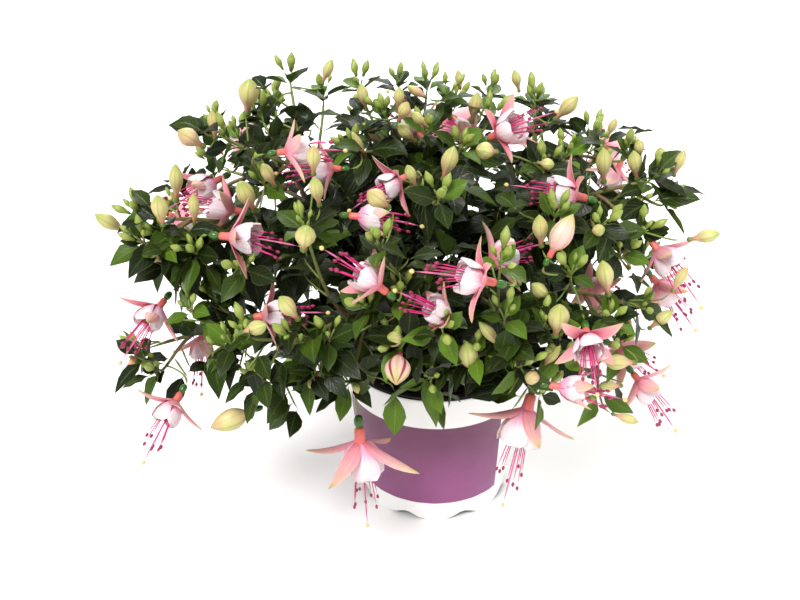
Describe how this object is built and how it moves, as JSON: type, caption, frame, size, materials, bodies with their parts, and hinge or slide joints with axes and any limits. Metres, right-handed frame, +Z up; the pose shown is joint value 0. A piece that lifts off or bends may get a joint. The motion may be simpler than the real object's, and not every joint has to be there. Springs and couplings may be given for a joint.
{
  "type": "potted fuchsia",
  "caption": "Bushy potted fuchsia with arching leafy stems, upright buds and hanging pink and white blooms, in a tapered pot with a scalloped white cover.",
  "frame": {"origin": "middle of the underside of the pot, where it stands", "axes": "+Z up out of the soil; -Y towards the front of the plant, where two blooms hang over the rim; +X to the right seen from the front"},
  "size_m": [0.3519, 0.3363, 0.301],
  "materials": {
    "black_plastic": "satin black nursery pot",
    "white_cover": "white coated paper sleeve",
    "compost": "dry crumbly compost",
    "foliage": "satin green leaf and stem",
    "pink_petals": "soft waxy petal",
    "white_petals": "soft waxy petal"
  },
  "bodies": {
    "root": {"bloom_back_left_high": "pink_petals", "bloom_back_left_low": "pink_petals", "bloom_back_middle": "pink_petals", "bloom_back_right_high": "pink_petals", "bloom_back_right_low": "pink_petals", "bloom_back_top": "pink_petals", "bloom_front_left_calyx": "pink_petals", "bloom_front_left_corolla": "white_petals", "bloom_front_left_middle": "pink_petals", "bloom_front_opening": "pink_petals", "bloom_front_right_calyx": "pink_petals", "bloom_front_right_corolla": "white_petals", "bloom_left_behind": "pink_petals", "bloom_left_big_calyx": "pink_petals", "bloom_left_big_corolla": "white_petals", "bloom_left_edge": "pink_petals", "bloom_left_high": "pink_petals", "bloom_left_opening": "pink_petals", "bloom_left_rim": "pink_petals", "bloom_left_under": "pink_petals", "bloom_left_upper": "pink_petals", "bloom_middle": "pink_petals", "bloom_middle_behind": "pink_petals", "bloom_middle_big_calyx": "pink_petals", "bloom_middle_big_corolla": "white_petals", "bloom_middle_low": "pink_petals", "bloom_right_behind": "pink_petals", "bloom_right_edge": "pink_petals", "bloom_right_edge_low": "pink_petals", "bloom_right_front": "pink_petals", "bloom_right_low": "pink_petals", "bloom_right_middle": "pink_petals", "bloom_right_middle_behind": "pink_petals", "bloom_right_rim": "pink_petals", "bloom_right_upper": "pink_petals", "bloom_right_upper_behind": "pink_petals", "bloom_top_left": "pink_petals", "bloom_top_left_inner": "pink_petals", "bloom_top_middle": "pink_petals", "bloom_top_middle_left": "pink_petals", "bloom_top_right_big_calyx": "pink_petals", "bloom_top_right_big_corolla": "white_petals", "bloom_upper_inner": "pink_petals", "bloom_upper_middle": "pink_petals", "branch_back": "foliage", "branch_back_left": "foliage", "branch_back_right": "foliage", "branch_front": "foliage", "branch_front_left": "foliage", "branch_front_right": "foliage", "branch_left": "foliage", "branch_left_low": "foliage", "branch_left_top": "foliage", "branch_right": "foliage", "branch_right_low": "foliage", "branch_right_top": "foliage", "branch_top": "foliage", "inner_pot": "black_plastic", "pot_cover": "white_cover", "soil": "compost"}
  },
  "joints": []
}
